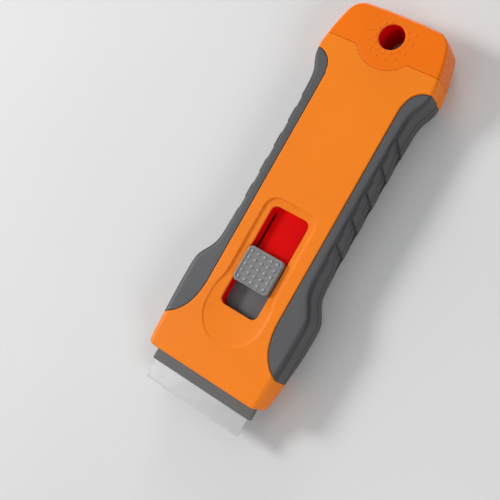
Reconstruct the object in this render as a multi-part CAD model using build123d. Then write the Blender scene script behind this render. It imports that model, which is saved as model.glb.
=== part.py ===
from build123d import *
import math
import os

# Retractable razor scraper, lying on its back. Millimetres.
# +X is the right side seen from the front, +Y runs from the blade edge to the hanging hole,
# +Z comes out of the button face. The origin is under the middle, at the level of the back.

os.makedirs("parts", exist_ok=True)

# ---- handle outside ----
LENGTH = 141.0                # blade edge to the top of the end cap, blade out
THICK = 15.0                  # back face to front face
EDGE_Y = -LENGTH / 2          # cutting edge
TOP_Y = LENGTH / 2            # crown of the end cap
MOUTH_Y = EDGE_Y + 10.7       # lip the blade holder comes out of
CAP_Y = EDGE_Y + 126.8        # parting line between the shells and the end cap
HOLE_Y = EDGE_Y + 133.1       # hanging hole
HOLE_R = 4.3
LINER_R = 5.3                 # outside of the red bush in the hole
PARTING_Z = 7.3               # parting plane of the two shells
FRONT_EDGE_R = 2.2
BACK_EDGE_R = 3.6
# (y, half width) along the side of the handle
SIDE = [(-66.0, 22.45), (-58.0, 22.75), (-48.0, 23.1), (-38.0, 23.35), (-31.0, 23.3), (-27.6, 22.95),
        (-25.0, 21.75), (-22.5, 20.2), (-19.8, 19.05), (-15.0, 18.55), (-4.0, 18.4), (10.0, 18.4),
        (25.0, 18.45), (36.0, 18.6), (41.0, 18.85), (43.6, 19.45), (46.0, 20.45), (48.4, 21.25),
        (51.0, 21.5), (53.5, 21.35), (56.5, 20.9), (60.0, 20.2), (64.0, 19.15), (69.9, 17.3)]

# ---- shells ----
PLATE = 2.2                   # front wall
BACK_WALL = 2.0
CAVITY_INSET = 2.35           # side wall, measured across
GRIP_DEPTH = 1.1              # thickness of the soft grips
GRIP_SINK = 0.3               # grips sit this far below the hard front face
GAP = 0.2                     # moulding gap round the end cap
FRONT_Z = THICK - PLATE       # inside of the front wall
PLUG_Z = 3.6                  # underside of the cap's plug

# ---- window, thumb dish ----
WINDOW_HALF = 7.2
WINDOW_Y = (EDGE_Y + 33.9, EDGE_Y + 69.3)
WINDOW_R = 2.2
RECESS_MARGIN = 2.6
RECESS_DEPTH = 0.7
DISH_Y = EDGE_Y + 33.2
DISH_R = 11.2
DISH_DEPTH = 0.6
DISH_TILT = 2.2               # degrees, deeper towards the blade
LIP = 0.6                     # thin edge of the front wall over the red collar

# ---- moving parts ----
TRAVEL = 14.3                 # slide travel, blade out to blade in
PRESS = 1.2                   # button press
BLADE_W = 38.1
BLADE_L = 19.05
BLADE_T = 0.23
BLADE_Z = 9.1                 # upper face of the blade
SPINE_L = 5.4
SPINE_T = 0.99
HOLDER_HALF = 19.95
HOLDER_Y = (EDGE_Y + 6.5, EDGE_Y + 26.0)
HOLDER_Z = (7.6, 10.1)
SLOT_Z = (8.46, 9.51)         # blade slot in the holder
SHANK_HALF = 12.0
SHANK_END = EDGE_Y + 56.0
SHANK_Z = 6.4
BUTTON_Y = EDGE_Y + 48.5
BUTTON = (13.6, 12.2)
BUTTON_Z = (12.8, 15.9)
DOT_PITCH = 2.5
LEG_X = 6.4                   # middle of the button's two legs
LEG_T = 0.6
LEG_LENGTH = 5.0
LEG_SLOT = 0.9
FLOOR_Z = (10.4, 11.4)        # red floor under the window

# ---- fasteners ----
SCREWS = [(15.2, -26.0), (-15.2, -26.0), (14.2, 44.6), (-14.2, 44.6)]
SCREW_R = 1.25
HEAD_R = 2.35
HEAD_TOP_Z = 1.9              # inner end of the screw heads, from the back
RIVETS = [(-15.5, -47.2), (-5.5, -47.2), (5.5, -47.2), (15.5, -47.2)]
RIVET_R = 1.1
RIVET_HEAD_R = 1.9
RIVET_HEAD_T = 0.3

# ---- inner frame ----
CHANNEL_HALF = 13.8           # outside of the slide channel
CHANNEL_Y = (-22.0, 6.0)
BOX_HALF = 11.2               # outside of the spare-blade box
BOX_Y = (5.0, 50.0)


def block(x0, x1, y0, y1, z0, z1):
    """A box given by its low and high corner."""
    middle = ((x0 + x1) / 2, (y0 + y1) / 2, (z0 + z1) / 2)
    return Pos(*middle) * Box(x1 - x0, y1 - y0, z1 - z0)


def rod(x, y, z0, z1, radius):
    """A cylinder along Z."""
    return Pos(x, y, (z0 + z1) / 2) * Cylinder(radius, z1 - z0)


def plan(inset):
    """The handle's outline seen from the front, taken in by inset at each side."""
    right = [(half - inset, y) for y, half in SIDE]
    left = [(-x, y) for x, y in reversed(right)]
    crown = (0, TOP_Y) if inset == 0 else (0, TOP_Y - max(inset, 0))
    top = ThreePointArc(right[-1], crown, left[0])
    return make_face(Wire([Spline(*right), top, Spline(*left), Line(left[-1], right[0])]))


def prism(face, z0, z1):
    return Pos(0, 0, z0) * extrude(face, z1 - z0)


def panel(half, y0, y1, radius, z0, z1):
    """A plate with rounded corners, symmetric about the middle plane."""
    shape = Pos(0, (y0 + y1) / 2) * RectangleRounded(2 * half, y1 - y0, radius)
    return prism(shape, z0, z1)


def handle_body():
    """The whole outside of the handle as one solid."""
    body = prism(plan(0), 0, THICK)
    corners = body.edges().filter_by(Axis.Z).sort_by(Axis.Y)[-2:]
    body = fillet(corners, 4.2)
    slope = make_face(Polyline((-80, -1), (-38, -1), (-37, 0), (MOUTH_Y, 5.0), (-80, 9.4), (-80, -1)))
    body -= extrude(Plane.YZ * slope, 40, both=True)
    body = fillet(body.faces().sort_by(Axis.Z)[-1].edges(), FRONT_EDGE_R)
    low = [e for e in body.edges() if e.center().Z < 4.6 and abs(e.center().X) > 12 and e.center().Y < 66]
    low += [e for e in body.edges() if e.center().Z < 0.1 and e.center().Y >= 66]
    body = fillet(ShapeList(low), BACK_EDGE_R)
    frame = prism(plan(-0.04), -1, THICK + 1) & block(-30, 30, MOUTH_Y, 80, -1, THICK + 1)
    ends = frame.edges().filter_by(Axis.Z).sort_by(Axis.Y)[:2]
    return body & fillet(ends, 3.0)


def grip_zone(points, side):
    """The region of the front or back that a grip covers, on one side."""
    edge = Spline(*[(side * x, y) for x, y in points])
    outer = Polyline((side * points[-1][0], points[-1][1]), (side * 30, points[-1][1] - 0.4),
                     (side * 30, points[0][1] - 0.6), (side * points[0][0], points[0][1]))
    return prism(make_face(Wire([edge] + outer.edges())), -1, THICK + 1)


FRONT_GRIP = [(22.9, -49.0), (20.0, -47.1), (18.0, -45.2), (16.0, -42.1), (14.9, -38.8), (14.3, -35.4),
              (14.1, -30.0), (14.1, 5.0), (14.1, 40.0), (14.35, 44.0), (15.2, 47.0), (16.6, 48.9),
              (18.6, 50.2), (21.6, 50.9)]
BACK_GRIP = [(22.9, -49.2), (20.6, -47.0), (19.0, -43.0), (18.5, -36.0), (18.4, -26.0), (17.0, -19.0),
             (15.7, -10.0), (15.6, 12.0), (15.8, 32.0), (17.2, 40.0), (17.6, 45.0), (18.6, 48.6),
             (21.6, 50.7)]

NOTCH_Y = [EDGE_Y + 62.9 + 9.3 * i for i in range(5)]


NOTCH_R = 5.2
NOTCH_X = 22.85
NOTCH_Z = (1.0, 10.6)


def notches(side):
    """Five finger scoops in the side of a grip."""
    cut = None
    for y in NOTCH_Y:
        scoop = rod(side * NOTCH_X, y, *NOTCH_Z, NOTCH_R)
        scoop += Pos(side * NOTCH_X, y, NOTCH_Z[1]) * Sphere(NOTCH_R)
        cut = scoop if cut is None else cut + scoop
    return cut


body = handle_body()
core = prism(plan(GRIP_DEPTH), GRIP_DEPTH + 1.5, THICK - GRIP_DEPTH)
core += prism(plan(GRIP_DEPTH + 1.5), GRIP_DEPTH, 5)
core_slope = Polyline((-80, -1), (-36.9, -1), (-36.9, 1.1), (MOUTH_Y, 6.15), (-80, 10.6), (-80, -1))
core -= extrude(Plane.YZ * make_face(core_slope), 40, both=True)
front_half = body & block(-40, 40, -80, CAP_Y, PARTING_Z, THICK + 1)
rear_half = body & block(-40, 40, -80, CAP_Y, -1, PARTING_Z)

# ---- soft grips ----
grips = {}
front_shell = front_half
rear_shell = rear_half
for name, side in (("left", -1), ("right", 1)):
    front_skin = grip_zone(FRONT_GRIP, side) - core
    back_skin = grip_zone(BACK_GRIP, side) - core
    cut = notches(side)
    sunk = block(-40, 40, -80, 80, THICK - GRIP_SINK, THICK + 2)
    grips["grip_front_" + name] = (front_half & front_skin) - cut - sunk
    grips["grip_rear_" + name] = (rear_half & back_skin) - cut
    front_shell -= front_skin
    rear_shell -= back_skin

# ---- inside of the shells ----
slope_cavity = make_face(Polyline((-80, -1), (-37, -1), (-37, 2.0), (MOUTH_Y, 7.0), (-80, 11.4), (-80, -1)))
ramp = extrude(Plane.YZ * slope_cavity, 40, both=True)
cavity = prism(plan(CAVITY_INSET), BACK_WALL + 1.4, FRONT_Z) + prism(plan(CAVITY_INSET + 1.55), BACK_WALL, 5)
cavity &= block(-40, 40, MOUTH_Y + 2.3, CAP_Y + 1, 0, 20)
cavity -= ramp
mouth = block(-20.3, 20.3, MOUTH_Y - 1, MOUTH_Y + 3, PARTING_Z, 10.4)

# ---- front shell ----
recess = panel(WINDOW_HALF + RECESS_MARGIN, WINDOW_Y[0] + 1, WINDOW_Y[1] + RECESS_MARGIN, 4.6,
               THICK - RECESS_DEPTH, THICK + 1)
dish = Pos(0, DISH_Y, THICK - DISH_DEPTH) * Rot(-DISH_TILT, 0, 0) * Pos(0, 0, 1.5) * Cylinder(DISH_R, 3)
window = panel(WINDOW_HALF, *WINDOW_Y, WINDOW_R, 5, THICK + 1)
collar_hole = panel(WINDOW_HALF + 0.85, WINDOW_Y[0] - 0.85, WINDOW_Y[1] + 0.85, WINDOW_R + 0.8, 5,
                    THICK - RECESS_DEPTH - LIP)
tongue_hole = rod(0, HOLE_Y, FRONT_Z - 1, THICK + 1, DISH_R + 0.05)
front_shell -= cavity
front_shell -= mouth
front_shell -= recess + dish
front_shell -= window + collar_hole
front_shell -= tongue_hole
for x, y in SCREWS:
    post = rod(x, y, PARTING_Z, FRONT_Z + 0.1, 2.3) & core
    front_shell += post
for x, y in SCREWS:
    front_shell -= rod(x, y, PARTING_Z - 1, 12.3, SCREW_R)

# ---- rear shell ----
rear_shell -= cavity
rear_shell -= mouth
for side in (-1, 1):
    rib = block(side * 16 - 0.6, side * 16 + 0.6, MOUTH_Y + 1, -31.0, 1.0, PARTING_Z)
    rear_shell += rib & prism(plan(1), 0.5, PARTING_Z) - ramp
for x, y in SCREWS:
    rear_shell += rod(x, y, 1.0, PARTING_Z, 2.9) & core
for x, y in SCREWS:
    rear_shell -= rod(x, y, -1, HEAD_TOP_Z, HEAD_R + 0.35)
    rear_shell -= rod(x, y, -1, PARTING_Z + 1, SCREW_R + 0.25)

# ---- end cap with its hanging hole ----
end_cap = body & block(-40, 40, CAP_Y + GAP, 80, -1, THICK + 1)
end_cap -= (prism(plan(CAVITY_INSET), BACK_WALL, FRONT_Z) & block(-40, 40, 0, TOP_Y - 1.9, 0, 20))
end_cap += rod(0, HOLE_Y, 1.0, THICK - 1, 6.5) & block(-10, 10, CAP_Y + GAP, 80, 0, 20)
flange = prism(plan(CAVITY_INSET - 0.3), BACK_WALL - 0.2, FRONT_Z + 0.2)
flange &= block(-30, 30, CAP_Y + GAP, CAP_Y + 1.6, 0, 20)
end_cap += flange - block(-16.6, 16.6, 0, 80, PLUG_Z + 1.2, FRONT_Z - 1.4)
plug = block(-17.8, 17.8, CAP_Y - 5.9, CAP_Y + 1.6, PLUG_Z, FRONT_Z - 0.2)
plug -= block(-16.6, 16.6, CAP_Y - 7, CAP_Y + 3, PLUG_Z + 1.2, FRONT_Z - 1.4)
end_cap += plug & prism(plan(CAVITY_INSET - 0.3), 0, THICK)
tongue = rod(0, HOLE_Y, FRONT_Z - 0.3, THICK, DISH_R - 0.2) & block(-20, 20, 0, CAP_Y + 2, 0, 20)
end_cap += tongue
for radius, start in ((5.4, 0.0), (7.45, 0.5)):
    for i in range(14):
        turn = math.radians(90 + (i + start) * 360 / 14)
        x, y = radius * math.cos(turn), HOLE_Y + radius * math.sin(turn)
        if y > TOP_Y - 3:
            continue
        end_cap += rod(x, y, THICK - 0.1, THICK + 0.15, 0.36)
end_cap -= rod(0, HOLE_Y, 0.6, THICK - 0.6, LINER_R)
end_cap -= rod(0, HOLE_Y, -1, THICK + 1, HOLE_R)
hole_liner = rod(0, HOLE_Y, 0.6, THICK - 0.6, LINER_R) - rod(0, HOLE_Y, 0, THICK, HOLE_R)

# ---- red inner frame: floor, collar, slide channel, spare-blade box ----
STOP_Y = SHANK_END + TRAVEL + 0.4
floor = block(-15.6, 15.6, EDGE_Y + 50.0, 6.0, *FLOOR_Z)
roof = block(-BOX_HALF, BOX_HALF, *BOX_Y, *FLOOR_Z)
collar = panel(WINDOW_HALF + 0.8, WINDOW_Y[0] - 0.8, WINDOW_Y[1] + 0.8, WINDOW_R + 0.8, FLOOR_Z[0],
               THICK - RECESS_DEPTH - LIP)
inner_frame = floor + roof + collar
bay = panel(WINDOW_HALF, *WINDOW_Y, WINDOW_R, FLOOR_Z[1], 20)
bay += panel(WINDOW_HALF, *WINDOW_Y, WINDOW_R, 0, 20) & block(-10, 10, -60, EDGE_Y + 50.0, 0, 20)
inner_frame -= bay
inner_frame -= block(-5.2, 5.2, WINDOW_Y[0] - 1, WINDOW_Y[0] + 0.1, FLOOR_Z[0] - 0.1, THICK)
slot_end = BUTTON_Y + LEG_LENGTH / 2 + TRAVEL + 2.0
for side in (-1, 1):
    rail_x = side * (CHANNEL_HALF - 0.7)
    inner_frame += block(rail_x - 0.7, rail_x + 0.7, *CHANNEL_Y, BACK_WALL, FLOOR_Z[1])
    inner_frame -= block(side * LEG_X - LEG_SLOT / 2, side * LEG_X + LEG_SLOT / 2, -30.0, slot_end,
                         FLOOR_Z[0] - 0.1, FLOOR_Z[1] + 0.02)
inner_frame += block(-CHANNEL_HALF, CHANNEL_HALF, *CHANNEL_Y, SHANK_Z - 1.5, SHANK_Z - 0.3)
inner_frame += block(-CHANNEL_HALF, CHANNEL_HALF, STOP_Y, STOP_Y + 1.6, SHANK_Z - 1.5, FLOOR_Z[0])
spare_room = BOX_HALF - 1.35
spare_box = block(-BOX_HALF, BOX_HALF, *BOX_Y, BACK_WALL, FLOOR_Z[1])
spare_box -= block(-spare_room, spare_room, BOX_Y[0] + 1.2, BOX_Y[1] + 1, BACK_WALL + 1.2, FLOOR_Z[0])
inner_frame += spare_box

# ---- blade holder ----
pocket = block(-8.0, 8.0, BUTTON_Y - 4.0, BUTTON_Y + 4.0, 7.0, 12.0)
blade_slot = block(-19.1, 19.1, HOLDER_Y[0] - 1, EDGE_Y + BLADE_L + 0.1, *SLOT_Z)


def holder_outline(z0, z1):
    """The wide head, narrowing behind to the shank."""
    x, shank = HOLDER_HALF, SHANK_HALF
    y0, y1 = HOLDER_Y
    half = [(x - 0.9, y0), (x, y0 + 0.9), (x, y1 - 2.0), (x - 2.0, y1), (shank, y1), (shank, SHANK_END - 1),
            (shank - 1, SHANK_END)]
    ring = half + [(-px, py) for px, py in reversed(half)]
    return prism(make_face(Polyline(*ring, close=True)), z0, z1)


holder_base = holder_outline(HOLDER_Z[0], SLOT_Z[1])
holder_base += block(-SHANK_HALF, SHANK_HALF, HOLDER_Y[1] + 0.5, SHANK_END - 1, SHANK_Z, HOLDER_Z[0])
holder_base -= blade_slot + pocket
holder_cover = holder_outline(SLOT_Z[1], HOLDER_Z[1])
for side in (-1, 1):
    slot_x = side * LEG_X
    holder_cover -= block(slot_x - LEG_SLOT / 2, slot_x + LEG_SLOT / 2, BUTTON_Y - 3.0, BUTTON_Y + 3.0, 9, 11)
rivets = None
for x, y in RIVETS:
    rivet = rod(x, y, *HOLDER_Z, RIVET_R) + rod(x, y, HOLDER_Z[1] - RIVET_HEAD_T, HOLDER_Z[1], RIVET_HEAD_R)
    holder_base -= rod(x, y, 0, 20, RIVET_R)
    holder_cover -= rod(x, y, 0, 20, RIVET_R) + rod(x, y, HOLDER_Z[1] - RIVET_HEAD_T, 20, RIVET_HEAD_R)
    rivets = rivet if rivets is None else rivets + rivet

# ---- blade, its folded spine, and the five spares ----
half_t = BLADE_T / 2
section = make_face(Polyline((EDGE_Y, 0), (EDGE_Y + 1.0, half_t), (EDGE_Y + BLADE_L - 0.4, half_t),
                             (EDGE_Y + BLADE_L - 0.4, -half_t), (EDGE_Y + 1.0, -half_t), close=True))
blade = extrude(Plane.YZ * section, BLADE_W / 2, both=True)
for side in (-1, 1):
    blade -= rod(side * BLADE_W / 2, EDGE_Y + 12.2, -1, 1, 1.3)
spine_y = EDGE_Y + BLADE_L - SPINE_L
spine = block(-BLADE_W / 2, BLADE_W / 2, spine_y, EDGE_Y + BLADE_L, -SPINE_T / 2, SPINE_T / 2)
spine -= block(-BLADE_W, BLADE_W, spine_y - 1, EDGE_Y + BLADE_L - 0.4, -half_t, half_t)
blade_mid = BLADE_Z - half_t
SPARE_Y = 26.2
turned = Rot(0, 0, 90)
spare_blades = None
spare_spines = None
for i in range(5):
    level = 3.3 + SPINE_T / 2 + i * (SPINE_T + 0.03)
    place = Pos(0, SPARE_Y, level) * turned * Pos(0, -EDGE_Y - BLADE_L / 2, 0)
    spare_blades = place * blade if spare_blades is None else spare_blades + place * blade
    spare_spines = place * spine if spare_spines is None else spare_spines + place * spine
blade = Pos(0, 0, blade_mid) * blade
spine = Pos(0, 0, blade_mid) * spine

# ---- leaf that holds the spares down ----


def leaf_section(upper, thickness):
    """The section of a bent leaf spring, under the curve of its upper face."""
    lower = [(u, z - thickness) for u, z in reversed(upper)]
    ring = [Spline(*upper), Line(upper[-1], lower[0]), Spline(*lower), Line(lower[-1], upper[0])]
    return make_face(Wire(ring))


bow = [(8.0, 10.35), (16.0, 9.9), (26.0, 8.95), (36.0, 9.9), (44.0, 10.35)]
store_spring = extrude(Plane.YZ * leaf_section(bow, 0.25), 3.0, both=True)

# ---- slide button on its two legs, and the leaf under it ----
button = extrude(RectangleRounded(*BUTTON, 1.6), BUTTON_Z[1] - BUTTON_Z[0])
button = Pos(0, BUTTON_Y, BUTTON_Z[0]) * button
button = fillet(button.faces().sort_by(Axis.Z)[-1].edges(), 0.6)
for i in range(-2, 3):
    for j in range(-2, 3):
        x, y = i * DOT_PITCH, BUTTON_Y + j * DOT_PITCH * 0.9
        button += Pos(x, y, BUTTON_Z[1] + 0.14) * Cone(0.5, 0.28, 0.32)
leg_y = (BUTTON_Y - LEG_LENGTH / 2, BUTTON_Y + LEG_LENGTH / 2)
for side in (-1, 1):
    leg = block(side * LEG_X - LEG_T / 2, side * LEG_X + LEG_T / 2, *leg_y, 8.7, BUTTON_Z[0] + 0.2)
    hook = block(side * 6.9 - 0.5, side * 6.9 + 0.5, *leg_y, 8.7, 9.3)
    button += leg + hook
arch = [(-7.2, 8.62), (-4.0, 7.75), (0.0, 7.32), (4.0, 7.75), (7.2, 8.62)]
button_spring = Pos(0, BUTTON_Y, 0) * extrude(Plane.XZ * leaf_section(arch, 0.3), 2.0, both=True)

# ---- housing screws ----
screws = None
for x, y in SCREWS:
    screw = rod(x, y, 0.35, HEAD_TOP_Z, HEAD_R) + rod(x, y, HEAD_TOP_Z, 12.0, SCREW_R)
    screw -= block(x - 1.3, x + 1.3, y - 0.3, y + 0.3, 0, 1.2)
    screw -= block(x - 0.3, x + 0.3, y - 1.3, y + 1.3, 0, 1.2)
    screws = screw if screws is None else screws + screw

nodes = {
    "front_shell": front_shell,
    "rear_shell": rear_shell,
    **grips,
    "end_cap": end_cap,
    "hole_liner": hole_liner,
    "inner_frame": inner_frame,
    "holder_base": holder_base,
    "holder_cover": holder_cover,
    "holder_rivets": rivets,
    "blade": blade,
    "blade_spine": spine,
    "spare_blades": spare_blades,
    "spare_spines": spare_spines,
    "store_spring": store_spring,
    "slide_button": button,
    "button_spring": button_spring,
    "housing_screws": screws,
}
for name, shape in nodes.items():
    solids = list(shape.solids())
    piece = Compound(children=solids) if len(solids) > 1 else solids[0]
    export_step(piece, "parts/" + name + ".step")
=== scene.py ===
import math
import bpy
import numpy as np
from mathutils import Matrix, Quaternion, Vector


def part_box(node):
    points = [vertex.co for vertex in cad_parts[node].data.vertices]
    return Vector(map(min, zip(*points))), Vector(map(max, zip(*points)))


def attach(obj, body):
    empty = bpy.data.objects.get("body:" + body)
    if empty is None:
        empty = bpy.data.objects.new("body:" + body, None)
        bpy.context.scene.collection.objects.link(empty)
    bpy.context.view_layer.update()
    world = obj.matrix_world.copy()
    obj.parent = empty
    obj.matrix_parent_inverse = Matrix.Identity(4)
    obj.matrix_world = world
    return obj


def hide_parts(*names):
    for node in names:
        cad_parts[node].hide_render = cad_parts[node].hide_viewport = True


# Retractable razor scraper lying on its back. Sizes are in millimetres, and the meshes are made in metres.
# +X is the right side seen from the front, +Y runs from the blade edge to the hanging hole, +Z is out of the
# button face. A moulded piece is a closed surface round a field that is below 0 inside the piece and gives
# about the distance to its skin, so that every moulded edge gets its own small radius.

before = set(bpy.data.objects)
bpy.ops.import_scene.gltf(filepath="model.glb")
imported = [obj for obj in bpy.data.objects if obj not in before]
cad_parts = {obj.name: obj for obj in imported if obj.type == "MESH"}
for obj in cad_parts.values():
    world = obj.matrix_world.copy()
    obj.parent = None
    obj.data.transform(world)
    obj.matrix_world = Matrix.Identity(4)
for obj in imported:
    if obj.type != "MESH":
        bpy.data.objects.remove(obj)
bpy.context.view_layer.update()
scene = bpy.context.scene
MM = 0.001

# ---- radii on edges ----
HAIR_R = 0.05
SHARP_R = 0.1
CRISP_R = 0.15
BLUNT_R = 0.2
EDGE_R = 0.3                  # usual radius on a moulded edge

# ---- handle outside ----
TOP_Y = 70.5
EDGE_Y = -70.5                # the blade's edge
THICK = 15.0
MOUTH_Y = EDGE_Y + 10.7       # lip the blade holder comes out of
CAP_Y = EDGE_Y + 126.8        # seam of the end cap
HOLE_Y = EDGE_Y + 133.1
HOLE_R = 4.3
PARTING_Z = 7.3
PARTING_GAP = 0.06            # each half stops this far from the parting line
GRIP_EDGE_R = 2.2             # front edge along the grips
CAP_EDGE_R = 0.9              # front edge round the end cap
EDGE_CHANGE_Y = (44.0, 52.0)  # where the front edge goes from one to the other
BACK_EDGE_R = 3.6
CORNER_R = 4.2
MOUTH_R = 3.0
MOUTH_EDGE_R = 0.7
MOUTH_FLARE = 0.2             # behind its corners the mouth's outline widens, and leaves the sides alone
MOUTH_FLARE_L = 10
SLOPE_Y = -37.0               # from here the back rises towards the mouth
SLOPE_RISE = 5.0
SLOPE_R = 4.0
CROWN_RISE = 0.6              # height of the end cap's crown over its corners
CROWN_SET_BACK = 0.002        # keeps the crown inside the overall length
WIDEST = 23.34                # the smooth curve through SIDE is cut off here, inside the overall width
DRAFT = 0.22                  # the sides lean in this much from the parting line to the faces
BEYOND = 200                  # past the end of anything on the tool
# (y, half width) along the side of the handle
SIDE = [(-66.0, 22.45), (-58.0, 22.75), (-48.0, 23.1), (-38.0, 23.35), (-31.0, 23.3), (-27.6, 22.95),
        (-25.0, 21.75), (-22.5, 20.2), (-19.8, 19.05), (-15.0, 18.55), (-4.0, 18.4), (10.0, 18.4),
        (25.0, 18.45), (36.0, 18.6), (41.0, 18.85), (43.6, 19.45), (46.0, 20.45), (48.4, 21.25),
        (51.0, 21.5), (53.5, 21.35), (56.5, 20.9), (60.0, 20.2), (64.0, 19.15), (69.9, 17.3)]
# (x, y) round the inner border of a soft grip, on the front and on the back
FRONT_GRIP = [(22.9, -49.0), (20.0, -47.1), (18.0, -45.2), (16.0, -42.1), (14.9, -38.8), (14.3, -35.4),
              (14.1, -30.0), (14.1, 5.0), (14.1, 40.0), (14.35, 44.0), (15.2, 47.0), (16.6, 48.9),
              (18.6, 50.2), (21.6, 50.9)]
BACK_GRIP = [(22.9, -49.2), (20.6, -47.0), (19.0, -43.0), (18.5, -36.0), (18.4, -26.0), (17.0, -19.0),
             (15.7, -10.0), (15.6, 12.0), (15.8, 32.0), (17.2, 40.0), (17.6, 45.0), (18.6, 48.6),
             (21.6, 50.7)]

# ---- soft grips ----
GRIP_DEPTH = 1.6
GRIP_SINK = 0.3               # how far the grips stay under the button face
GRIP_PLAY = 0.03              # between a grip and its bed
GRIP_OUTSIDE = 40             # |x| where a grip's area is closed, outside the handle
NOTCH_Y = [EDGE_Y + 62.9 + 9.3 * i for i in range(5)]
NOTCH_DEPTH = (0.45, 0.95)    # at a notch's lower and upper end
NOTCH_LENGTH = 5.2
NOTCH_LEAN = 0.26             # shift along the handle for each millimetre of height
NOTCH_LEAN_Z = 6.0            # height where a notch is at its NOTCH_Y
NOTCH_Z = (1.6, 14.3)
NOTCH_R = 1.2
NOTCH_SIDE = 16.0             # notches are cut outside this |x|

# ---- shells ----
PLATE = 2.2
BACK_WALL = 2.0
CAVITY_INSET = 2.35
CAVITY_START = 2.3            # thickness of the wall at the mouth
CAVITY_R = 1.5
GAP = 0.03                    # seam round the end cap
FRONT_Z = THICK - PLATE
MOUTH_SLOT_HALF = 20.3
MOUTH_SLOT_Z = (PARTING_Z - 3, 10.4)
WINDOW_HALF = 7.2
WINDOW_Y = (EDGE_Y + 33.9, EDGE_Y + 69.3)
WINDOW_R = 2.2
WINDOW_EDGE_R = 0.22
RECESS_MARGIN = 2.6
RECESS_DEPTH = 0.7
RECESS_R = 4.6
RECESS_WALL_X = (-4.0, 9.0)   # the recess's wall is steep on the left and gentle on the right,
RECESS_WALL = (0.25, 1.0)     # this wide at those places
RECESS_START = -0.15          # the wall starts this far outside the recess's outline
DISH_Y = EDGE_Y + 33.2
DISH_R = 11.2
DISH_STEP = 0.3               # depth of the thumb dish at its rim
DISH_BOWL = 0.45              # how much deeper it is in its middle
DISH_FILLET = 4.0             # where the dish's outline meets the recess's
DISH_BLEND = (3, 11)          # the dish's depth turns into the recess this far behind its middle
LIP = 0.6                     # thin edge of the window over the red collar
SCREWS = [(15.2, -26.0), (-15.2, -26.0), (14.2, 44.6), (-14.2, 44.6)]
FRONT_POST_R = 2.3
REAR_POST_R = 2.9
SCREW_HEAD_R = 2.35
SCREW_HEAD_Z = (0.35, 1.9)
HEAD_BORE_R = 2.7
SHANK_BORE_R = 1.5
SCREW_R = 1.25
SCREW_TIP = 12.0
THREAD_PITCH = 0.9
THREAD_DEPTH = 0.12
CROSS = (1.3, 0.28)           # half length and half width of each arm of a screw's cross

# ---- end cap ----
TONGUE_R = 11.2
TONGUE_FILLET = 0.6           # where the round tongue meets the seam
TONGUE_SINK = 0.3             # the tongue is this much thicker than the plate
TONGUE_ROOT = 2               # how far it reaches into the cap
CAP_WALL = 1.9
CAP_TUBE_R = 6.5
LINER_BORE_R = 5.3
LINER_R = 5.27
LINER_SEAT = 0.6              # the liner's bed ends this far from the faces, and the liner at LINER_END
LINER_END = 0.63
FLANGE_L = 1.6
FLANGE_SINK = 0.3
PLUG_HALF = (17.8, 16.6)      # outside and inside
PLUG_L = 5.9
PLUG_Z = (3.6, FRONT_Z - 0.2)
PLUG_HOLLOW_Z = (4.8, FRONT_Z - 1.4)
DOT_RINGS = ((5.4, 0.0), (7.45, 0.5))   # radius of each ring of bumps, and its start in steps
DOTS_IN_RING = 14
DOT_R = 0.42
DOT_HEIGHT = 0.2
DOT_SINK = 0.08

# ---- moving parts ----
TRAVEL = 14.3
BLADE_W = 38.1
BLADE_L = 19.05
BLADE_T = 0.23
BLADE_Z = 9.1                 # top of the blade
BLADE_NOTCH = (12.2, 1.3)     # place along the blade and radius of the notch in each end
SPINE_T = 0.99
SPARES = 5
SPARE_GAP = 0.03
SPARE_Z = 3.3                 # underside of the lowest spare's spine
SPARE_Y = 26.2
HOLDER_HALF = 19.95
HOLDER_Y = (EDGE_Y + 6.5, EDGE_Y + 26.0)
HOLDER_Z = (7.6, 10.1)
HOLDER_CUT = 0.25             # front corners of the holder's head
SHOULDER_CUT = 2.0            # its rear corners
SLOT_Z = (8.46, 9.51)         # the slot the blade and its spine sit in
SLOT_HALF = 19.1
SHANK_HALF = 12.0
SHANK_END = EDGE_Y + 56.0
SHANK_CUT = 1
SHANK_Z = 6.4
RIVETS = [(-15.5, -47.2), (-5.5, -47.2), (5.5, -47.2), (15.5, -47.2)]
RIVET_BORE_R = 1.1
RIVET_R = 1.08
RIVET_SEAT_R = 1.9
RIVET_HEAD_R = 1.86
RIVET_DIMPLE_R = 0.6
RIVET_HEAD_T = 0.28
SEAT_T = 0.3
BUTTON_Y = EDGE_Y + 48.5
BUTTON = (13.6, 12.2)
BUTTON_Z = (12.8, 15.9)
BUTTON_CORNER_R = 1.6
BUTTON_EDGE_R = 0.4
RIM_W = 0.75
RIM_STEP = 0.22
BUMP_PITCH = (2.5, 2.25)
BUMP_R = 0.53
BUMP_SINK = 0.24              # how far each bump's centre lies under the button's top
LEG_X = 6.4
LEG_T = 0.6
LEG_HALF_W = 2.5
LEG_Z = (8.7, 13.5)
HOOK_X = (6.4, 7.4)
HOOK_Z = (8.7, 9.3)
LEG_SLOT = 0.9
LEG_SLOT_X = (LEG_X - LEG_SLOT / 2, LEG_X + LEG_SLOT / 2)
LEG_SLOT_Y = (-32.0, BUTTON_Y + 4.5 + TRAVEL)   # of the slots in the floor, which let the button travel

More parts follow.
